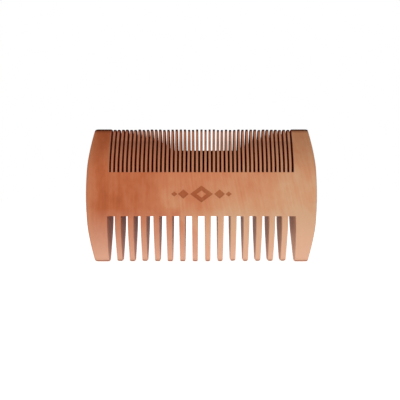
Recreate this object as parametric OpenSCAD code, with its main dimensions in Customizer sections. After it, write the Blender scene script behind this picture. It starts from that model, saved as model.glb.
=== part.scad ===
// Double-sided wooden beard comb: a row of fine teeth above, a row of wide teeth below.
// It stands on the tips of its wide teeth. X runs along the comb, the front face looks
// towards -Y, and Z runs from the wide tips at 0 up to the fine tips.

/* [Blank] */
// Length of the comb, end to end
comb_length = 95; // [90:1:110]
// Height of the comb, from the wide tips to the fine tips
comb_height = 56; // [52:0.1:60]
// Thickness of the web between the two rows of teeth
web_thickness = 10; // [8:0.5:12]
// How far each end swells out between its corners
end_bulge = 2.8; // [2:0.1:5]
// Setback of the chamfer on the guards' outer corners
corner_chamfer = 0.9; // [0.4:0.1:2]

/* [Taper towards the tips] */
// Thickness that the taper reaches at the tips
tip_thickness = 2.3; // [2:0.1:2.4]
// Distance from the tips at which the two faces start to thin
taper_length = 15.5; // [13:0.5:17]
// Radius of the long curve that thins each face
taper_radius = 125; // [90:5:200]
// Radius of the rounded nose along the tips, front to back
nose_radius = 1.8; // [1.8:0.1:2.4]

/* [Wide teeth] */
// Number of wide teeth
wide_teeth = 14; // [8:1:14]
// Distance between the centres of two wide teeth
wide_pitch = 5.28; // [4.6:0.02:5.4]
// Width of a wide tooth at its root
wide_root_width = 2.55; // [2.2:0.05:3]
// Width of a wide tooth at its tip
wide_tip_width = 2.15; // [1.6:0.05:2.2]
// Length of the wide teeth
wide_tooth_length = 19.4; // [17.5:0.1:20]
// Gap between a guard and the wide tooth beside it, at the root
end_gap = 3.05; // [2.7:0.05:3.5]
// How far a guard's inner edge leans away from the teeth, at the wide tips
guard_lean = 0.55; // [0:0.05:1]

/* [Fine teeth] */
// Number of fine teeth
fine_teeth = 43; // [20:1:43]
// Distance between the centres of two fine teeth
fine_pitch = 1.74; // [1.6:0.01:1.8]
// Width of a fine tooth at its root
fine_root_width = 0.92; // [0.8:0.02:1]
// Width of a fine tooth at its tip
fine_tip_width = 0.92; // [0.7:0.02:0.94]
// Length of the fine teeth, measured on the front face
fine_tooth_length = 18.6; // [17.5:0.1:20]
// Radius of the round saw that cuts the slots between the fine teeth
saw_radius = 45; // [30:5:80]
// How much nearer to the tips the saw leaves the back face than the front face
saw_run_out = 10.2; // [6:0.2:12]

/* [Burnt ornament] */
// Width of the whole ornament
ornament_width = 24.8; // [16:0.2:30]
// Height of the middle lozenge
ornament_height = 6.9; // [4:0.1:9]
// Depth of the ornament below the front face
ornament_depth = 0.2; // [0.1:0.05:0.5]
// Height of the ornament's middle above the wide tips
ornament_level = 28.5; // [26:0.1:30]

/* [Hidden] */
$fn = 180;
wood = [0.78, 0.51, 0.37];
pale_wood = [0.86, 0.64, 0.51];
dark_wood = [0.66, 0.40, 0.27];

fine_root = comb_height - fine_tooth_length;
wide_half_row = ((wide_teeth - 1) * wide_pitch + wide_root_width) / 2 + end_gap;
fine_half_row = (fine_teeth * fine_pitch + fine_pitch - fine_root_width) / 2;
half_height = comb_height / 2;
end_radius = (half_height * half_height + end_bulge * end_bulge) / (2 * end_bulge);

// Centre of an arc of radius r from p to q, on the left of the way from p to q.
function arc_centre(p, q, r) =
    let (chord = q - p, side = [-chord.y, chord.x] / norm(chord))
    (p + q) / 2 + side * sqrt(r * r - chord * chord / 4);

// The curve that thins the front face towards the wide tips, as [Y, Z].
taper_centre = arc_centre([-web_thickness / 2, taper_length], [-tip_thickness / 2, 0], taper_radius);

// Half the thickness at a distance d from the tips, within the taper.
function half_thickness(d) =
    sqrt(taper_radius * taper_radius - pow(d - taper_centre.y, 2)) - taper_centre.x;

// The saw enters the front face at the root line and leaves the back face nearer to the tips.
saw_exit = fine_tooth_length - saw_run_out;
saw_centre = arc_centre([-web_thickness / 2, fine_root],
                        [half_thickness(saw_exit), comb_height - saw_exit], saw_radius);

function two_digits(n) = str(n < 10 ? "0" : "", n);
function wide_name(n) = str("wide_tooth_", two_digits(n));
function fine_name(n) = str("fine_tooth_", two_digits(n));

// Place of tooth n in a centred row, along X.
function tooth_x(n, teeth, pitch) = (n - (teeth + 1) / 2) * pitch;

// Runs a front view, drawn as [X, Z], through the whole thickness.
module through_thickness() {
    rotate([90, 0, 0]) linear_extrude(web_thickness, center = true) children();
}

// Runs a cross-section, drawn as [Y, Z], along the comb for a length.
module along_comb(length) {
    rotate([90, 0, 90]) linear_extrude(length, center = true) children();
}

// Everything between a rounded lower end and a height, for trimming a tip.
module round_ended_band(width, height, radius) {
    translate([-width / 2, radius]) square([width, height - radius]);
    translate([0, radius]) circle(radius);
}

// A circle that bounds the left end of the comb.
module left_end_curve() {
    translate([end_radius - comb_length / 2, half_height]) circle(end_radius);
}

// The blank from the front: straight above and below, swelling at both ends.
module outline() {
    difference() {
        intersection() {
            translate([-comb_length / 2, 0]) square([comb_length, comb_height]);
            left_end_curve();
            mirror([1, 0]) left_end_curve();
        }
        for (x = [-1, 1], z = [0, comb_height])
            translate([x * (comb_length / 2 - end_bulge), z])
                rotate(45) square(corner_chamfer * sqrt(2), center = true);
    }
}

// One end of the blank's cross-section: both faces thin towards a rounded nose at Z = 0.
module tapered_end() {
    intersection() {
        translate(taper_centre) circle(taper_radius);
        mirror([1, 0]) translate(taper_centre) circle(taper_radius);
        round_ended_band(web_thickness, comb_height, nose_radius);
    }
}

// The blank's cross-section, as [Y, Z].
module cross_section() {
    intersection() {
        tapered_end();
        translate([0, comb_height]) mirror([0, 1]) tapered_end();
    }
}

// The part of the cross-section between two heights.
module cross_section_between(low, high) {
    intersection() {
        cross_section();
        translate([-web_thickness / 2, low]) square([web_thickness, high - low]);
    }
}

// The round saw's sweep, as [Y, Z].
module saw_sweep() {
    translate(saw_centre) circle(saw_radius);
}

// A tooth from the front, with its tip at Z = 0 and its root at Z = length.
module tooth_front(root_width, tip_width, length) {
    intersection() {
        polygon([[-tip_width / 2, 0], [tip_width / 2, 0],
                 [root_width / 2, length], [-root_width / 2, length]]);
        round_ended_band(root_width, length, tip_width * 0.54);
    }
}

module lozenge(width, height) {
    polygon([[-width / 2, 0], [0, -height / 2], [width / 2, 0], [0, height / 2]]);
}

// A pierced lozenge between two pairs of smaller ones.
module ornament() {
    difference() {
        lozenge(ornament_width * 0.38, ornament_height);
        lozenge(ornament_width * 0.16, ornament_height * 0.42);
    }
    for (side = [-1, 1]) {
        translate([side * ornament_width * 0.3, 0])
            lozenge(ornament_width * 0.18, ornament_height * 0.55);
        translate([side * ornament_width * 0.45, 0])
            lozenge(ornament_width * 0.1, ornament_height * 0.3);
    }
}

module spine() {
    color(wood) difference() {
        union() {
            along_comb(2 * wide_half_row) cross_section_between(wide_tooth_length, fine_root);
            along_comb(2 * fine_half_row) difference() {
                cross_section_between(fine_root, comb_height);
                saw_sweep();
            }
        }
        translate([0, ornament_depth - web_thickness, ornament_level]) through_thickness() ornament();
    }
}

module right_guard() {
    color(wood) intersection() {
        through_thickness() intersection() {
            outline();
            union() {
                polygon([[wide_half_row + guard_lean, 0], [comb_length, 0], [comb_length, fine_root],
                         [wide_half_row, fine_root], [wide_half_row, wide_tooth_length]]);
                translate([fine_half_row, fine_root]) square([comb_length, fine_tooth_length]);
            }
        }
        along_comb(comb_length) cross_section();
    }
}

module left_guard() {
    color(dark_wood) mirror([1, 0, 0]) right_guard();
}

module wide_tooth(n) {
    color(pale_wood) intersection() {
        translate([tooth_x(n, wide_teeth, wide_pitch), 0, 0]) through_thickness()
            tooth_front(wide_root_width, wide_tip_width, wide_tooth_length);
        along_comb(comb_length) cross_section_between(0, wide_tooth_length);
    }
}

module fine_tooth(n) {
    color(dark_wood) intersection() {
        translate([tooth_x(n, fine_teeth, fine_pitch), 0, comb_height]) mirror([0, 0, 1])
            through_thickness() tooth_front(fine_root_width, fine_tip_width, fine_tooth_length);
        along_comb(comb_length) intersection() {
            cross_section_between(fine_root, comb_height);
            saw_sweep();
        }
    }
}

spine();
left_guard();
right_guard();
for (n = [1:wide_teeth]) wide_tooth(n);
for (n = [1:fine_teeth]) fine_tooth(n);
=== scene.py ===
"""A double-sided wooden beard comb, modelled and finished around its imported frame.

X runs along the comb, the front face looks towards -Y and the fine teeth point up, along +Z.
"""

import math
import random
from collections import namedtuple

import bmesh
import bpy
from bpy.props import FloatProperty, FloatVectorProperty, PointerProperty
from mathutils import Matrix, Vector


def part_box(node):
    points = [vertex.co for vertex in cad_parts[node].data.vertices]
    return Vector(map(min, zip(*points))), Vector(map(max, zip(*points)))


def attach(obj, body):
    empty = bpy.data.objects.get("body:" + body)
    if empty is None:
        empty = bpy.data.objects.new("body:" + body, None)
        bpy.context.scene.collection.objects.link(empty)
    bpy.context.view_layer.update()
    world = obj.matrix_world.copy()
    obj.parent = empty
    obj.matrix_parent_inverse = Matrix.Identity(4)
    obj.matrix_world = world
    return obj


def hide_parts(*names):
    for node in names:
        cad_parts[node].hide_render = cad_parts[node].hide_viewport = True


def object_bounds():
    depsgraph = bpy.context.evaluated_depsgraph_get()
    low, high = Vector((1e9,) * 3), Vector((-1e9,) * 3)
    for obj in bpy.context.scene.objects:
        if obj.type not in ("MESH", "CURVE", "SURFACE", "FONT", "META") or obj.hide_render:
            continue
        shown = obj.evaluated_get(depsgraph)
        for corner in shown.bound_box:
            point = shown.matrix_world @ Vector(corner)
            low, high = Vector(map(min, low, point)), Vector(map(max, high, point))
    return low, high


bl_info = {
    "name": "Wooden beard comb",
    "version": (1, 0, 0),
    "blender": (4, 5, 0),
    "location": "3D View > Sidebar > Comb",
    "description": "Models a double-sided wooden beard comb and its studio",
    "category": "Mesh",
}

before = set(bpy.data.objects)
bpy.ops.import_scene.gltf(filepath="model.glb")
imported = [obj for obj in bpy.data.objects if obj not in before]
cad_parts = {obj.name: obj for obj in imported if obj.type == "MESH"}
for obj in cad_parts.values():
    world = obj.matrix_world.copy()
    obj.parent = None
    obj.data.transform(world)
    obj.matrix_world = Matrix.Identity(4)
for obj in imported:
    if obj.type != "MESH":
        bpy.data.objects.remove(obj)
CAD_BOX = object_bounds()

MM = 0.001
NEAR = 1e-6
BODY = "root"

WIDE_NODES = sorted(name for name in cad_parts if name.startswith("wide_tooth"))
FINE_NODES = sorted(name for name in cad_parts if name.startswith("fine_tooth"))

# Sizes and levels of the comb that its frame gives
SPINE_LOW, SPINE_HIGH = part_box("spine")
HEIGHT = CAD_BOX[1].z
HALF_LENGTH = CAD_BOX[1].x
HALF_WEB = CAD_BOX[1].y
WIDE_ROOT = SPINE_LOW.z
FINE_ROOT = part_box(FINE_NODES[0])[0].z
SAW_EXIT = SPINE_HIGH.z
WIDE_HALF_ROW = SPINE_HIGH.x
FINE_HALF_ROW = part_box("right_guard")[0].x


def length(name, description, millimetres):
    """A length that a user may change, given in millimetres."""
    return FloatProperty(name=name, description=description, default=millimetres * MM, unit="LENGTH", min=0)


def linear(channel):
    """A screen's colour channel as light, both from 0 to 1."""
    return channel / 12.92 if channel <= 0.04045 else ((channel + 0.055) / 1.055) ** 2.4


def colour(name, description, red, green, blue):
    """A colour that a user may change, given as it looks on a screen, from 0 to 255."""
    return FloatVectorProperty(
        name=name,
        description=description,
        default=[linear(channel / 255) for channel in (red, green, blue)],
        subtype="COLOR",
        min=0,
        max=1,
    )


class CombSizes(bpy.types.PropertyGroup):
    """Sizes of the sanding and sawing that the frame's boxes don't give."""

    taper_length: length("Taper length", "Distance from the tips at which the faces start to thin", 15.5)
    tip_thickness: length("Tip thickness", "Thickness that the taper reaches at the tips", 2.3)
    taper_radius: length("Taper radius", "Radius of the long curve that thins each face", 125)
    taper_softness: length("Taper softness", "How softly each face turns into its taper", 0.55)
    nose_radius: length("Nose radius", "Radius of the tips, front to back", 1.8)
    end_bulge: length("End bulge", "How far each end swells out between its corners", 2.8)
    left_corner: length("Left corner radius", "Rounding of the left guard's outer corners", 1.1)
    right_corner: length("Right corner radius", "Rounding of the right guard's outer corners", 0.6)
    inner_corner: length("Inner corner radius", "Rounding of the guards' inner corners", 0.4)
    left_lean: length("Left lean", "How far the left guard leans away from the wide tips", 0.25)
    right_lean: length("Right lean", "How far the right guard leans away from the wide tips", 0.8)
    rim_easing: length("Rim easing", "Rounding of the long edges at the comb's two ends", 0.7)
    gap_easing: length("Gap easing", "Rounding of the edges along the wide gaps", 0.12)
    slot_easing: length("Slot easing", "Rounding of the edges along the fine slots", 0.08)
    wide_tip: length("Wide tip width", "Width of a wide tooth at its tip", 2.15)
    square_tip: length("Squarer tip radius", "Rounding of the wide tips on the left", 0.7)
    round_tip: length("Rounder tip radius", "Rounding of the wide tips on the right", 1.0)
    fine_tip: length("Fine tip width", "Width of a fine tooth at its tip", 0.92)
    fine_belly: length("Fine tooth belly", "How much wider a fine tooth is at its middle", 0.07)
    fine_corner: length("Fine tip radius", "Rounding of the fine tips", 0.26)
    fine_skew: FloatProperty(
        name="Fine skew",
        description="Angle by which the fine teeth are sawn out of square with the faces",
        default=math.radians(1.1),
        subtype="ANGLE",
    )
    saw_radius: length("Saw radius", "Radius of the round saw that cuts the fine slots", 45)
    bedding: length("Bedding", "How deep a fine tooth is let into the spine behind the slot floor", 0.3)
    ornament_width: length("Ornament width", "Width of the whole ornament", 24.8)
    ornament_height: length("Ornament height", "Height of the ornament's middle lozenge", 6.9)
    ornament_level: length("Ornament level", "Height of the ornament's middle above the wide tips", 28.5)
    ornament_depth: length("Ornament depth", "Depth of the ornament below the front face", 0.2)


class CombColours(bpy.types.PropertyGroup):
    """Colours of the wood, and of the sheen and shade that are painted on it."""

    deep: colour("Deep wood", "The darkest streaks", 154, 75, 38)
    red: colour("Red wood", "The redder side of the board", 176, 94, 56)
    warm: colour("Warm wood", "The middle of the board", 191, 118, 80)
    tan: colour("Tan wood", "Between the middle and the paler side", 198, 140, 102)
    pale: colour("Pale wood", "The paler side of the board", 201, 157, 122)
    # Painted sheen: the colour that lightens the wide teeth towards their tips, as light from the pale floor
    # below.
    light: colour("Painted sheen", "The light ends of the wide teeth", 214, 169, 144)
    dusty: colour("Dusty wood", "Sawdust rubbed into the fine teeth", 170, 124, 100)
    # Painted shade: the colour of the walls between the fine teeth.
    painted_slot_shade: colour("Painted slot shade", "Painted shade on the walls of the fine slots", 130, 38, 8)
    # Painted shade on the slot floors. Along the fine tips it is partly darker end grain and partly painted
    # shade.
    end_grain_and_painted_shade: colour("Dark end grain and painted shade", "Painted shade on the slot floors, and the fine tips' end grain darkened with painted shade", 44, 8, 2)


# ---------------------------------------------------------------- modelling helpers

# Faces that meet at a smaller angle than this are shaded as one smooth surface
SMOOTH_ANGLE = math.radians(40)


def take_up(piece):
    """Makes a piece the only one selected, and the active one."""
    bpy.ops.object.select_all(action="DESELECT")
    piece.select_set(True)
    bpy.context.view_layer.objects.active = piece


def add_block(name, low, high):
    """A cube at its size and place, left in edit mode."""
    bpy.ops.object.select_all(action="DESELECT")
    low, high = Vector(low), Vector(high)
    bpy.ops.mesh.primitive_cube_add(size=1, location=(low + high) / 2, scale=high - low)
    bpy.ops.object.transform_apply(location=True, rotation=False, scale=True)
    piece = bpy.context.object
    piece.name = piece.data.name = name
    bpy.ops.object.mode_set(mode="EDIT")
    return piece


def select(kind, test):
    """Selects the vertices, edges or faces of the mesh in edit mode that pass a test."""
    bpy.ops.mesh.select_mode(type=kind)
    bpy.ops.mesh.select_all(action="DESELECT")
    data = bpy.context.object.data
    shape = bmesh.from_edit_mesh(data)
    group = {"VERT": shape.verts, "EDGE": shape.edges, "FACE": shape.faces}[kind]
    for element in group:
        if test(element):
            element.select_set(True)
    shape.select_flush_mode()
    bmesh.update_edit_mesh(data)


def select_level(z, test=lambda place: True):
    """Selects the vertices at one height whose place passes a test."""
    select("VERT", lambda vertex: abs(vertex.co.z - z) < NEAR and test(vertex.co))


def is_upright(edge):
    """Whether an edge leads from one height to another."""
    return abs(edge.verts[0].co.z - edge.verts[1].co.z) > NEAR


def cut_through(place, direction):
    """Cuts the mesh in edit mode right through at a plane, and takes nothing away."""
    bpy.ops.mesh.select_all(action="SELECT")
    bpy.ops.mesh.bisect(plane_co=place, plane_no=direction)


def slice_at(heights):
    """Cuts the mesh in edit mode across at each height."""
    for z in heights:
        cut_through((0, 0, z), (0, 0, 1))


def round_edges(test, radius, segments):
    """Rounds the edges that pass a test."""
    select("EDGE", test)
    bpy.ops.mesh.bevel(offset=radius, segments=segments, affect="EDGES")


def extrude(x=0, y=0, z=0):
    """Extrudes the selected faces."""
    bpy.ops.mesh.extrude_region_move(TRANSFORM_OT_translate={"value": (x, y, z)})


def resize(x, y, centre):
    """Scales the selection across X and Y about a point."""
    bpy.ops.transform.resize(value=(x, y, 1), center_override=centre)


def move(x=0, y=0, z=0):
    """Moves the selection."""
    bpy.ops.transform.translate(value=(x, y, z))


def close_up(piece):
    """Leaves edit mode with the faces outwards, the doubles merged and the shading smooth."""
    bpy.ops.mesh.select_all(action="SELECT")
    bpy.ops.mesh.remove_doubles(threshold=NEAR)
    bpy.ops.mesh.normals_make_consistent(inside=False)
    bpy.ops.object.mode_set(mode="OBJECT")
    bpy.ops.object.shade_smooth_by_angle(angle=SMOOTH_ANGLE)
    bpy.ops.object.modifier_add(type="WEIGHTED_NORMAL")
    piece.modifiers[-1].keep_sharp = True
    bpy.ops.object.modifier_apply(modifier=piece.modifiers[-1].name)


def carve(piece, cutter):
    """Cuts one shape out of another and removes the cutter."""
    take_up(piece)
    bpy.ops.object.modifier_add(type="BOOLEAN")
    cut = piece.modifiers[-1]
    cut.operation, cut.solver, cut.object = "DIFFERENCE", "EXACT", cutter
    bpy.ops.object.modifier_apply(modifier=cut.name)
    bpy.data.objects.remove(cutter)


def copy_piece(piece, offset):
    """A copy with its own mesh, moved along X."""
    take_up(piece)
    bpy.ops.object.duplicate(linked=False)
    move(x=offset)
    return bpy.context.object


def hand_over(piece, node, *materials):
    """Names the piece for its node, gives it its finish and has it ride on the comb."""
    piece.name = piece.data.name = node + "_wood"
    for material in materials:
        piece.data.materials.append(material)
    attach(piece, BODY)
    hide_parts(node)


# ---------------------------------------------------------------- the comb's own curves

# A round end is cut off blunt this near to its tip, so that it keeps a face there
BLUNT_END = 0.02 * MM
# Distances from the tips at which the round of the tips is cut
NOSE_CUTS = [distance * MM for distance in (0.06, 0.18, 0.35, 0.6, 0.9, 1.3, 1.8)]
# Number of cuts along the taper, between the nose and the soft start, and how far that start reaches
TAPER_CUTS = 6
SOFT_MARGIN = 3 * MM
# Cuts on both sides of the taper's start, where the faces turn softly into it
SOFT_CUTS = [step * 0.8 * MM for step in range(-3, 5)]
# How far past the start of the taper a face is quite flat
FLAT_MARGIN = 4 * MM


def spread(low, high, count):
    """Evenly spaced values between two ends, without the ends."""
    return [low + (high - low) * step / (count + 1) for step in range(1, count + 1)]


def from_tip(z):
    """Distance from a height to the nearer row of tips."""
    return max(0, min(z, HEIGHT - z))


def round_end(distance, radius):
    """Half the width of a round end of some radius, at a distance from its tip."""
    blunt = max(distance, BLUNT_END)
    return radius if blunt >= radius else math.sqrt(radius**2 - (radius - blunt) ** 2)


def arc_centre(start, stop, radius):
    """Centre of an arc between two points, on the left of the way."""
    chord = stop - start
    reach = math.sqrt(radius**2 - (chord.length / 2) ** 2)
    return (start + stop) / 2 + Vector((-chord.y, chord.x)).normalized() * reach


def half_thickness(z):
    """Half the comb's thickness at a height, where flat faces blend softly into long curves."""
    sizes = bpy.context.scene.comb_sizes
    distance = from_tip(z)
    start, stop = Vector((-HALF_WEB, sizes.taper_length)), Vector((-sizes.tip_thickness / 2, 0))
    centre = arc_centre(start, stop, sizes.taper_radius)
    taper = math.sqrt(sizes.taper_radius**2 - (distance - centre.y) ** 2) - centre.x
    nearness = max(1 - abs(taper - HALF_WEB) / sizes.taper_softness, 0)
    faces = min(taper, HALF_WEB) - nearness**2 * sizes.taper_softness / 4
    return min(faces, round_end(distance, sizes.nose_radius)) if distance < sizes.nose_radius else faces


def end_reach(z, corner):
    """How far out along X an end of the comb reaches at a height."""
    bulge = bpy.context.scene.comb_sizes.end_bulge
    half_height = HEIGHT / 2
    radius = (half_height**2 + bulge**2) / (2 * bulge)
    reach = HALF_LENGTH - radius + math.sqrt(radius**2 - (z - half_height) ** 2)
    return reach - corner + round_end(from_tip(z), corner)


def slot_floor(z):
    """Y of the sloping floor of the fine slots at a height."""
    radius = bpy.context.scene.comb_sizes.saw_radius
    start, stop = Vector((-HALF_WEB, FINE_ROOT)), Vector((half_thickness(SAW_EXIT), SAW_EXIT))
    centre = arc_centre(start, stop, radius)
    return centre.x + math.sqrt(radius**2 - (z - centre.y) ** 2)


def tip_distances(reach):
    """Distances from a row of tips at which a shape is cut to round and to thin it, up to a reach."""
    taper_length = bpy.context.scene.comb_sizes.taper_length
    taper = spread(NOSE_CUTS[-1], taper_length - SOFT_MARGIN, TAPER_CUTS)
    soft_start = [taper_length + step for step in SOFT_CUTS]
    return [distance for distance in NOSE_CUTS + taper + soft_start if distance < reach]


def thin(heights, test=lambda place: True):
    """Thins the mesh in edit mode at each height to the comb's thickness there."""
    for z in heights:
        select_level(z, test)
        resize(1, half_thickness(z) / HALF_WEB, (0, 0, z))


# ---------------------------------------------------------------- the teeth

# How much narrower and shorter a hand-finished tooth may be, as shares, and how far it may lean
Finish = namedtuple("Finish", "narrowing shortening lean")
WIDE_FINISH = Finish(0.03, 0.014, math.radians(0.2))
FINE_FINISH = Finish(0.02, 0.012, math.radians(0.15))
WIDE_SEED = 14
FINE_SEED = 43


def tooth_levels(low, high, tip_z):
    """Heights at which a tooth is cut to round and to thin it, from its tip to its root."""
    towards_root = 1 if tip_z <= low.z else -1
    return [tip_z + towards_root * distance for distance in tip_distances(high.z - low.z)]


def add_tooth(name, low, high, tip_z, tip_width, belly, tip_corner, easing):
    """One tooth, thinned from its root to its rounded tip and a little wider at its middle, in edit mode."""
    piece = add_block(name, (low.x, -HALF_WEB, low.z), (high.x, HALF_WEB, high.z))
    round_edges(is_upright, easing, segments=3)
    levels = tooth_levels(low, high, tip_z)
    slice_at(levels)
    root_width = high.x - low.x
    middle = (low.x + high.x) / 2
    for z in [tip_z] + levels:
        distance = abs(z - tip_z)
        along = distance / (high.z - low.z)
        sides = (tip_width + (root_width - tip_width) * along) / 2 + 2 * belly * along * (1 - along)
        sides -= tip_corner - round_end(distance, tip_corner)
        select_level(z)
        resize(2 * sides / root_width, 1, (middle, 0, z))
    thin([low.z, high.z] + levels)
    return piece


def vary(piece, root, draw, finish):
    """Gives a hand-finished tooth its own width, length and lean, and settles it at the origin."""
    wide = 1 - finish.narrowing * draw.random()
    tall = 1 - finish.shortening * draw.random()
    turn = finish.lean * draw.uniform(-1, 1)
    bpy.ops.transform.resize(value=(wide, 1, tall), center_override=root)
    bpy.ops.transform.rotate(value=turn, orient_axis="Y", center_override=root)
    bpy.ops.object.transform_apply(location=True, rotation=True, scale=True)


def set_row(pattern, root, nodes, draw, finish):
    """Copies a pattern, whose root is at a point, to its nodes' places, each copy with its own finish."""
    for node in nodes:
        low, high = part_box(node)
        offset = (low.x + high.x) / 2 - root[0]
        tooth = copy_piece(pattern, offset)
        vary(tooth, (root[0] + offset, 0, root[2]), draw, finish)
        hand_over(tooth, node, wood())
    bpy.data.objects.remove(pattern)


class COMB_OT_wide_teeth(bpy.types.Operator):
    """Adds the row of wide teeth"""

    bl_idname = "comb.wide_teeth"
    bl_label = "Wide teeth"

    def execute(self, context):
        sizes = context.scene.comb_sizes
        low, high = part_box(WIDE_NODES[0])
        root = ((low.x + high.x) / 2, 0, high.z)
        half = len(WIDE_NODES) // 2
        draw = random.Random(WIDE_SEED)
        for corner, nodes in ((sizes.square_tip, WIDE_NODES[:half]), (sizes.round_tip, WIDE_NODES[half:])):
            pattern = add_tooth("wide_pattern", low, high, low.z, sizes.wide_tip, 0, corner, sizes.gap_easing)
            close_up(pattern)
            set_row(pattern, root, nodes, draw, WIDE_FINISH)
        return {"FINISHED"}


class COMB_OT_fine_teeth(bpy.types.Operator):
    """Adds the row of fine teeth, each let into the slot floor behind it"""

    bl_idname = "comb.fine_teeth"
    bl_label = "Fine teeth"

    def execute(self, context):
        sizes = context.scene.comb_sizes
        low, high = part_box(FINE_NODES[0])
        root = ((low.x + high.x) / 2, 0, low.z)
        pattern = add_tooth(
            "fine_pattern",
            low,
            high,
            high.z,
            sizes.fine_tip,
            sizes.fine_belly,
            sizes.fine_corner,
            sizes.slot_easing,
        )
        for z in [FINE_ROOT] + tooth_levels(low, high, high.z):
            if z < SAW_EXIT:
                inwards = slot_floor(z) + sizes.bedding - half_thickness(z)
                select_level(z, lambda place: place.y > 0)
                move(y=min(inwards, 0))
        bpy.ops.mesh.select_all(action="SELECT")
        bpy.ops.transform.rotate(value=sizes.fine_skew, orient_axis="Z", center_override=root)
        close_up(pattern)
        set_row(pattern, root, FINE_NODES, random.Random(FINE_SEED), FINE_FINISH)
        return {"FINISHED"}


# ---------------------------------------------------------------- the guards

# Number of cuts along the flat part of a guard, where only its end swells
END_CUTS = 7


def add_guard(side, corner, lean):
    """The solid bar at one end, from the wide tips to the fine tips."""
    sizes = bpy.context.scene.comb_sizes
    inner, outer = WIDE_HALF_ROW, HALF_LENGTH
    middle = (inner + outer) / 2
    piece = add_block("guard", (inner, -HALF_WEB, 0), (outer, HALF_WEB, HEIGHT))
    slice_at([WIDE_ROOT, FINE_ROOT])
    select("FACE", lambda face: face.normal.x < -0.5 and face.calc_center_median().z > FINE_ROOT)
    extrude(x=FINE_HALF_ROW - inner)
    round_edges(lambda edge: is_upright(edge) and edge.verts[0].co.x > middle, sizes.rim_easing, segments=4)

    flat_from = sizes.taper_length + FLAT_MARGIN
    distances = tip_distances(flat_from)
    slice_at(distances)
    slice_at([HEIGHT - distance for distance in distances])
    slice_at(spread(flat_from, HEIGHT - flat_from, END_CUTS))
    heights = sorted({round(vertex.co.z, 7) for vertex in bmesh.from_edit_mesh(piece.data).verts})
    for z in heights:
        select_level(z, lambda place: place.x > middle)
        move(x=end_reach(z, corner) - outer)
        select_level(z, lambda place: place.x < middle)
        rounding = sizes.inner_corner - round_end(from_tip(z), sizes.inner_corner)
        move(x=rounding + lean * max(1 - z / WIDE_ROOT, 0))
    thin(heights)
    if side < 0:
        bpy.ops.mesh.select_all(action="SELECT")
        resize(-1, 1, (0, 0, 0))
    close_up(piece)
    return piece


class COMB_OT_guards(bpy.types.Operator):
    """Adds the solid guard at each end"""

    bl_idname = "comb.guards"
    bl_label = "Guards"

    def execute(self, context):
        sizes = context.scene.comb_sizes
        hand_over(add_guard(-1, sizes.left_corner, sizes.left_lean), "left_guard", wood())
        hand_over(add_guard(1, sizes.right_corner, sizes.right_lean), "right_guard", wood())
        return {"FINISHED"}


# ---------------------------------------------------------------- the spine

# Number of steps in which the floors of the fine slots are built up, before the last
FLOOR_STEPS = 11
# Width and height of the ornament's middle ring and of its hole, as shares of the whole ornament's
RING = (0.38, 1)
RING_HOLE = (0.16, 0.42)
# Place, width and height of the two lozenges on each side of the ring, as shares of the ornament's
SIDE_LOZENGES = ((0.3, 0.18, 0.55), (0.45, 0.1, 0.3))


def raise_slot_floors():
    """Builds the mesh in edit mode up from the fine roots, its front following the saw's curve."""
    reached = FINE_ROOT
    steps = spread(FINE_ROOT, SAW_EXIT, FLOOR_STEPS) + [SAW_EXIT]

    def on_top(face):
        """Whether a face is the top that has been reached over the fine row."""
        place = face.calc_center_median()
        return abs(place.x) < FINE_HALF_ROW and place.z > reached - NEAR

    for z in steps:
        select("FACE", on_top)
        extrude(z=z - reached)
        front = slot_floor(reached)
        select_level(z, lambda place: abs(place.y - front) < NEAR)
        move(y=slot_floor(z) - front)
        reached = z
    thin([FINE_ROOT] + steps, lambda place: abs(place.y) > HALF_WEB - NEAR)


def add_lozenge(x, width, height, depth, proud):
    """A cutter for one lozenge of the ornament, from a depth in the front face to proud of it."""
    centre = (x, -HALF_WEB + depth, bpy.context.scene.comb_sizes.ornament_level)
    bpy.ops.object.select_all(action="DESELECT")
    bpy.ops.mesh.primitive_circle_add(
        vertices=4, radius=1, fill_type="NGON", location=centre, rotation=(math.pi / 2, 0, 0)
    )
    bpy.ops.transform.resize(value=(width / 2, 1, height / 2))
    bpy.ops.object.transform_apply(location=True, rotation=True, scale=True)
    bpy.ops.object.mode_set(mode="EDIT")
    bpy.ops.mesh.select_all(action="SELECT")
    extrude(y=-depth - proud)
    bpy.ops.mesh.select_all(action="SELECT")
    bpy.ops.mesh.normals_make_consistent(inside=False)
    bpy.ops.object.mode_set(mode="OBJECT")
    return bpy.context.object


def carve_ornament(piece):
    """Carves the pierced lozenge and the pairs of smaller ones beside it."""
    sizes = bpy.context.scene.comb_sizes
    width, height, depth = sizes.ornament_width, sizes.ornament_height, sizes.ornament_depth
    ring = add_lozenge(0, RING[0] * width, RING[1] * height, depth, MM)
    carve(ring, add_lozenge(0, RING_HOLE[0] * width, RING_HOLE[1] * height, 2 * depth, 2 * MM))
    carve(piece, ring)
    for side in (-1, 1):
        for along, across, up in SIDE_LOZENGES:
            carve(piece, add_lozenge(side * along * width, across * width, up * height, depth, MM))


class COMB_OT_spine(bpy.types.Operator):
    """Adds the web between the rows, with its sloping slot floors and its ornament"""

    bl_idname = "comb.spine"
    bl_label = "Spine"

    def execute(self, context):
        low, high = (-WIDE_HALF_ROW, -HALF_WEB, WIDE_ROOT), (WIDE_HALF_ROW, HALF_WEB, FINE_ROOT)
        piece = add_block("spine", low, high)
        for end in (-FINE_HALF_ROW, FINE_HALF_ROW):
            cut_through((end, 0, 0), (1, 0, 0))
        raise_slot_floors()
        close_up(piece)
        carve_ornament(piece)
        hand_over(piece, "spine", wood(), burnt_wood())
        burnt_level = -HALF_WEB + context.scene.comb_sizes.ornament_depth
        for face in piece.data.polygons:
            if abs(face.center.y - burnt_level) < NEAR:
                face.material_index = 1
        return {"FINISHED"}


# ---------------------------------------------------------------- shader nodes


def solid(paint):
    """A colour that nothing shows through."""
    return (*paint, 1.0)


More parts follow.
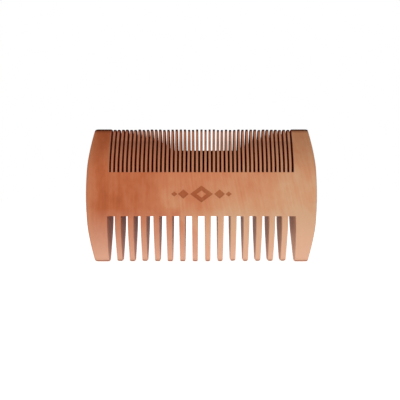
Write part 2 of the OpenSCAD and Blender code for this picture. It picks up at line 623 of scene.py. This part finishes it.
class Wire:
    """A shader socket that takes part in sums as a number does."""

    def __init__(self, bench, socket):
        self.bench = bench
        self.socket = socket

    def sum(self, operation, *values):
        """A new wire from a Math node."""
        return self.bench.node("ShaderNodeMath", {"operation": operation}, dict(enumerate(values)))

    def __add__(self, other):
        return self.sum("ADD", self, other)

    def __radd__(self, other):
        return self.sum("ADD", other, self)

    def __sub__(self, other):
        return self.sum("SUBTRACT", self, other)

    def __rsub__(self, other):
        return self.sum("SUBTRACT", other, self)

    def __mul__(self, other):
        return self.sum("MULTIPLY", self, other)

    def __rmul__(self, other):
        return self.sum("MULTIPLY", other, self)

    def __abs__(self):
        return self.sum("ABSOLUTE", self)


class Bench:
    """The nodes laid out for one material, or for the world."""

    def __init__(self, owner):
        owner.use_nodes = True
        self.tree = owner.node_tree
        self.tree.nodes.clear()

    def node(self, kind, settings, sockets, out=0):
        """A node with its settings, and the values or wires of its sockets, by name or by number."""
        made = self.tree.nodes.new(kind)
        for key, value in settings.items():
            if key == "stops":
                self.set_stops(made.color_ramp, value)
            else:
                setattr(made, key, value)
        for place, value in sockets.items():
            if isinstance(value, Wire):
                self.tree.links.new(value.socket, made.inputs[place])
            else:
                made.inputs[place].default_value = value
        return Wire(self, made.outputs[out]) if made.outputs else None

    def set_stops(self, ramp, stops):
        """Puts a ramp's colours at their places, in order."""
        ramp.elements.remove(ramp.elements[-1])
        ramp.elements[0].position, ramp.elements[0].color = stops[0]
        for place, paint in stops[1:]:
            ramp.elements.new(place).color = paint

    def split(self, vector):
        """The X, Y and Z of a vector."""
        parted = self.node("ShaderNodeSeparateXYZ", {}, {"Vector": vector})
        return [Wire(self, socket) for socket in parted.socket.node.outputs]

    def noise(self, where, stretch, scale, detail, roughness):
        """Smooth noise from 0 to 1, stretched along the axes, with scale in features to the metre."""
        stretched = self.node("ShaderNodeVectorMath", {"operation": "MULTIPLY"}, {0: where, 1: stretch})
        sockets = {"Vector": stretched, "Scale": scale, "Detail": detail, "Roughness": roughness}
        return self.node("ShaderNodeTexNoise", {}, sockets)

    def between(self, value, low, high, at_low, at_high, way="LINEAR"):
        """at_low where a value is low, at_high where it is high, and the way between them, but no further."""
        sockets = {"Value": value, "From Min": low, "From Max": high, "To Min": at_low, "To Max": at_high}
        return self.node("ShaderNodeMapRange", {"interpolation_type": way}, sockets)

    def ramp_up(self, value, low, high):
        """0 at low and before it, 1 at high and past it, and smooth between."""
        return self.between(value, low, high, 0.0, 1.0, "SMOOTHSTEP")

    def mix(self, share, first, second, blend):
        """Two colours mixed by a share. A Mix node's colours are its sockets 6 and 7, and its output 2."""
        settings = {"data_type": "RGBA", "blend_type": blend}
        return self.node("ShaderNodeMix", settings, {0: share, 6: first, 7: second}, out=2)

    def coat(self, board, share, paint):
        """The board's colour with a share of it painted over."""
        return self.mix(share, board, solid(paint), "MIX")

    def stain(self, board, share, tint):
        """The board's colour with a share of it multiplied by a tint."""
        return self.mix(share, board, solid(tint), "MULTIPLY")


# ---------------------------------------------------------------- the wood

# Half the width of the soft border between two regions of the wood
BORDER = 0.1 * MM

# Where a point of the wood lies, how far it faces along X, either way, and how far it faces up
Site = namedtuple("Site", "place x y z facing_x facing_z")


def survey(bench):
    """The place and the facing of the point that is shaded."""
    place = bench.node("ShaderNodeTexCoord", {}, {}, out="Object")
    facing_x, _, facing_z = bench.split(bench.node("ShaderNodeNewGeometry", {}, {}, out="Normal"))
    return Site(place, *bench.split(place), abs(facing_x), facing_z)


def above(bench, site, z):
    """1 above a height and 0 below it."""
    return bench.ramp_up(site.z, z - BORDER, z + BORDER)


def below(bench, site, z):
    """1 below a height and 0 above it."""
    return bench.ramp_up(site.z, z + BORDER, z - BORDER)


def within(bench, site, half_row):
    """1 across a row of teeth and a little beyond it, and 0 on the guards beside it."""
    return bench.ramp_up(abs(site.x), half_row + 4 * BORDER, half_row + 2 * BORDER)


def lay_board(bench, site, grain, streaks):
    """The board's colour, which turns from red to tan past a slanting line, with bands and streaks, and past
    that line painted light low down and painted shade high up.
    """
    colours = bpy.context.scene.comb_colours
    clouds = bench.noise(site.place, (1, 1, 1), 55, detail=3.0, roughness=0.55)
    bands = bench.noise(grain, (1, 0.6, 0.13), 230, detail=3.0, roughness=0.6)
    blotches = bench.noise(grain, (1, 1, 0.5), 330, detail=3.0, roughness=0.6)
    turn = bench.ramp_up(site.x + site.z * 0.8 + clouds * (14 * MM), 8 * MM, 17 * MM)
    # Painted light and shade: past the line the board is shifted lighter near the wide teeth and darker and
    # redder towards the fine teeth.
    painted_shade_rise = bench.between(site.z, 18 * MM, 46 * MM, 0.1, -0.2)
    figure = (bands - 0.5) * 0.3 + (blotches - 0.5) * 0.36
    shade = 0.385 + site.x * 4.5 + turn * (0.17 + painted_shade_rise) + (clouds - 0.5) * 0.4
    shade = shade + figure * (1 - turn * 0.45) + (streaks - 0.5) * 0.2
    stops = [
        (0.0, solid(colours.deep)),
        (0.22, solid(colours.red)),
        (0.47, solid(colours.warm)),
        (0.62, solid(colours.tan)),
        (0.76, solid(colours.pale)),
    ]
    return bench.node("ShaderNodeValToRGB", {"stops": stops}, {"Fac": shade})


def shade_rows(bench, site, board):
    """The board, with a painted sheen that lightens it down the wide teeth, and painted shade that darkens it
    up the fine ones and towards the upper right.
    """
    # Painted sheen: the wide teeth are coated lighter towards their tips, as light from the pale floor below.
    painted_sheen_below = bench.between(site.z, 22.5 * MM, 0.0, 0.0, 0.85)
    board = bench.coat(board, painted_sheen_below, bpy.context.scene.comb_colours.light)
    # Painted shade: the upper right of the board is darkened a little.
    crown = bench.ramp_up(site.z, 27 * MM, 44 * MM) * bench.ramp_up(site.x, 0.0, 42 * MM)
    board = bench.stain(board, crown, (0.9, 0.9, 0.9))
    # Painted shade: the fine teeth, whose faces taper upwards, are darkened towards their tips, away from the
    # light below.
    upper = bench.ramp_up(site.z, FINE_ROOT - MM, HEIGHT - 2 * MM)
    return bench.stain(board, upper, (0.75, 0.73, 0.68))


def tan_and_shade_rims(bench, site, board):
    """The board, nearly tan along the left rim, and with painted shade that darkens the rims of both ends."""
    left = bench.ramp_up(site.x, -42.5 * MM, -46.5 * MM)
    board = bench.coat(board, left * 0.3, bpy.context.scene.comb_colours.tan)
    # Painted shade: the sideways-facing rims of both ends are darkened, as rounded edges turned away from the
    # light.
    outside = bench.ramp_up(abs(site.x), FINE_HALF_ROW + 2 * MM, FINE_HALF_ROW + 3 * MM)
    return bench.stain(board, bench.ramp_up(site.facing_x, 0.3, 0.9) * outside, (0.72, 0.74, 0.68))


def dust_and_shade_slots(bench, site, board):
    """The board, dusty up the fine teeth and with painted shade in their slots, and how much shade is painted
    there.
    """
    colours = bpy.context.scene.comb_colours
    in_slots = above(bench, site, FINE_ROOT) * within(bench, site, FINE_HALF_ROW)
    # Below the saw's way out the back is whole, and it stays as clean as the web.
    whole_back = below(bench, site, SAW_EXIT) * bench.ramp_up(site.y, -BORDER, BORDER)
    board = bench.coat(board, in_slots * (1 - whole_back) * 0.38, colours.dusty)
    # Painted shade: the walls of the fine slots, between the teeth, are coated near black-red.
    walls = bench.ramp_up(site.facing_x, 0.25, 0.75) * in_slots
    board = bench.coat(board, walls, colours.painted_slot_shade)
    # Painted shade: the floors of the fine slots, deep between the teeth, are coated near black.
    below_tips = bench.ramp_up(site.z, HEIGHT - 5 * MM, HEIGHT - 6 * MM)
    floors = bench.ramp_up(site.facing_z, 0.2, 0.4) * in_slots * below_tips
    return bench.coat(board, floors, colours.end_grain_and_painted_shade), walls + floors


def darken_gaps(bench, site, board):
    """The board, with painted shade on the sawn walls of the wide gaps, and more of it towards the back."""
    in_gaps = below(bench, site, WIDE_ROOT) * within(bench, site, WIDE_HALF_ROW)
    # Painted shade: the gap walls are darkened, most deep in the gaps, away from the light in front.
    walls = bench.ramp_up(site.facing_x, 0.6, 0.95) * in_gaps
    deep_in = bench.ramp_up(site.y, -HALF_WEB, HALF_WEB / 2)
    return bench.stain(board, walls * (0.25 + deep_in * 0.5), (0.74, 0.57, 0.52))


def darken_tip_ends(bench, site, board):
    """The board, near black along the fine tips, as darker end grain and painted shade, and with painted
    shade along the wide ones, and how dark the fine tips are.
    """
    # Partly darker end grain and partly painted shade: the upward-facing tops of the fine tips and guards are
    # coated near black.
    burnt = bench.ramp_up(site.facing_z, 0.15, 0.45) * bench.ramp_up(site.z, HEIGHT - 2 * MM, HEIGHT - MM)
    board = bench.coat(board, burnt * 0.9, bpy.context.scene.comb_colours.end_grain_and_painted_shade)
    # Painted shade: the downward-facing ends of the wide tips are darkened, as if in shadow near the floor.
    darker = bench.ramp_up(site.facing_z, -0.2, -0.6) * bench.ramp_up(site.z, 2 * MM, MM)
    return bench.stain(board, darker, (0.5, 0.42, 0.38)), burnt


def make_wood(name, tint):
    """Sanded wood with its grain along Z, with a painted sheen and painted shade that is darkest in the
    slots, under a tint.
    """
    material = bpy.data.materials.new(name)
    bench = Bench(material)
    site = survey(bench)

    # The grain is upright in the left half and leans a little in the right half.
    leaning = (site.z - HEIGHT / 2) * bench.ramp_up(site.x, -25 * MM, 15 * MM) * 0.22
    grain = bench.node("ShaderNodeCombineXYZ", {}, {"X": site.x + leaning, "Y": site.y, "Z": site.z})
    streaks = bench.noise(grain, (1, 1, 0.04), 950, detail=3.0, roughness=0.6)
    fibres = bench.noise(grain, (1, 1, 0.06), 3600, detail=2.0, roughness=0.6)
    pores = bench.ramp_up(fibres, 0.6, 0.8)

    board = shade_rows(bench, site, lay_board(bench, site, grain, streaks))
    board = bench.coat(board, pores * 0.2, bpy.context.scene.comb_colours.deep)
    # sawn holds where shade is painted in the fine slots, and burnt holds where the fine tips are darkened as
    # end grain with painted shade. Both make the wood rougher.
    board, sawn = dust_and_shade_slots(bench, site, tan_and_shade_rims(bench, site, board))
    board, burnt = darken_tip_ends(bench, site, darken_gaps(bench, site, board))
    board = bench.stain(board, 1.0, tint)

    height = streaks * 0.5 + fibres * 0.5 - pores * 0.6
    bump = bench.node("ShaderNodeBump", {}, {"Strength": 0.3, "Distance": 0.03 * MM, "Height": height})
    rough = 0.52 + (streaks - 0.5) * 0.2 + pores * 0.15 + (sawn + burnt) * 0.4
    sockets = {"Base Color": board, "Roughness": rough, "Normal": bump, "Specular IOR Level": 0.12}
    surface = bench.node("ShaderNodeBsdfPrincipled", {}, sockets)
    bench.node("ShaderNodeOutputMaterial", {}, {"Surface": surface})
    return material


def wood():
    """The comb's wood, made once."""
    return bpy.data.materials.get("Sanded wood") or make_wood("Sanded wood", (1, 1, 1))


def burnt_wood():
    """The wood where the ornament is burnt in, made once."""
    return bpy.data.materials.get("Burnt wood") or make_wood("Burnt wood", (0.68, 0.50, 0.38))


# ---------------------------------------------------------------- the studio

WHITE = (1.0, 1.0, 1.0, 1.0)
FLOOR_SIZE = 6
# How far the floor lies below the comb, so that the two don't touch
FLOOR_DROP = 0.02 * MM
# Place and power of each panel light, all of one size
PANELS = {"front light": ((0.05, -0.5, 0.16), 0.66), "back light": ((-0.1, 0.5, 0.25), 0.3)}
PANEL_SIZE = 0.4
# Strength of the air's light from the back, and how much more comes from the front
BACK_AIR = 0.2
FRONT_AIR = 0.4
# The camera looks straight along Y
CAMERA_PLACE = (-0.6 * MM, -134 * MM, 26.04 * MM)
CAMERA_LENS = 28.36
CAMERA_SENSOR = 36


def add_panel_light(name, place, power):
    """A soft square light aimed at the middle of the comb."""
    bpy.ops.object.select_all(action="DESELECT")
    aim = Vector((0, 0, HEIGHT / 2)) - Vector(place)
    bpy.ops.object.light_add(type="AREA", location=place, rotation=aim.to_track_quat("-Z", "Y").to_euler())
    light = bpy.context.object
    light.name = name
    light.data.shape, light.data.size, light.data.energy = "SQUARE", PANEL_SIZE, power


def floor_material():
    """A pale floor that glows a little, as a lit studio sweep does."""
    material = bpy.data.materials.new("Pale floor")
    bench = Bench(material)
    sockets = {
        "Base Color": (0.9, 0.9, 0.9, 1.0),
        "Roughness": 0.9,
        "Emission Color": WHITE,
        "Emission Strength": 0.75,
    }
    surface = bench.node("ShaderNodeBsdfPrincipled", {}, sockets)
    bench.node("ShaderNodeOutputMaterial", {}, {"Surface": surface})
    return material


def fill_air(scene):
    """White air behind everything, which lights the comb more from the front than from the back."""
    scene.world = bpy.data.worlds.new("Studio")
    bench = Bench(scene.world)
    seen = bench.node("ShaderNodeLightPath", {}, {}, out="Is Camera Ray")
    towards = bench.split(bench.node("ShaderNodeTexCoord", {}, {}, out="Generated"))
    lit = BACK_AIR + bench.ramp_up(towards[1], 0.7, -0.7) * FRONT_AIR
    air = bench.node("ShaderNodeBackground", {}, {"Color": WHITE, "Strength": lit + seen * (1 - lit)})
    bench.node("ShaderNodeOutputWorld", {}, {"Surface": air})


class COMB_OT_studio(bpy.types.Operator):
    """Adds the floor, the lights and the camera"""

    bl_idname = "comb.studio"
    bl_label = "Studio"

    def execute(self, context):
        scene = context.scene
        scene.view_settings.view_transform = "Standard"
        bpy.ops.object.select_all(action="DESELECT")
        bpy.ops.mesh.primitive_plane_add(size=FLOOR_SIZE, location=(0, 0, -FLOOR_DROP))
        floor = context.object
        floor.name = "floor"
        floor.data.materials.append(floor_material())
        fill_air(scene)
        for name, (place, power) in PANELS.items():
            add_panel_light(name, place, power)

        bpy.ops.object.select_all(action="DESELECT")
        bpy.ops.object.camera_add(location=CAMERA_PLACE, rotation=(math.pi / 2, 0, 0))
        camera = context.object
        camera.name = "camera"
        camera.data.lens = CAMERA_LENS
        camera.data.sensor_width = CAMERA_SENSOR
        camera.data.clip_start = 10 * MM
        scene.camera = camera
        return {"FINISHED"}


class COMB_PT_panel(bpy.types.Panel):
    """Lists the comb's sizes, colours and steps"""

    bl_idname = "COMB_PT_panel"
    bl_label = "Wooden beard comb"
    bl_space_type = "VIEW_3D"
    bl_region_type = "UI"
    bl_category = "Comb"

    def draw(self, context):
        layout = self.layout
        for group in (context.scene.comb_sizes, context.scene.comb_colours):
            column = layout.column()
            for name in group.__annotations__:
                column.prop(group, name)
        for step in STEPS:
            layout.operator(step.bl_idname)


STEPS = (COMB_OT_studio, COMB_OT_spine, COMB_OT_guards, COMB_OT_wide_teeth, COMB_OT_fine_teeth)
CLASSES = (CombSizes, CombColours, *STEPS, COMB_PT_panel)


def register():
    for item in CLASSES:
        bpy.utils.register_class(item)
    bpy.types.Scene.comb_sizes = PointerProperty(type=CombSizes)
    bpy.types.Scene.comb_colours = PointerProperty(type=CombColours)


def unregister():
    del bpy.types.Scene.comb_sizes
    del bpy.types.Scene.comb_colours
    for item in reversed(CLASSES):
        bpy.utils.unregister_class(item)


def main():
    """Makes the comb and its studio."""
    register()
    bpy.ops.comb.studio()
    bpy.ops.comb.spine()
    bpy.ops.comb.guards()
    bpy.ops.comb.wide_teeth()
    bpy.ops.comb.fine_teeth()


if __name__ == "__main__":
    main()
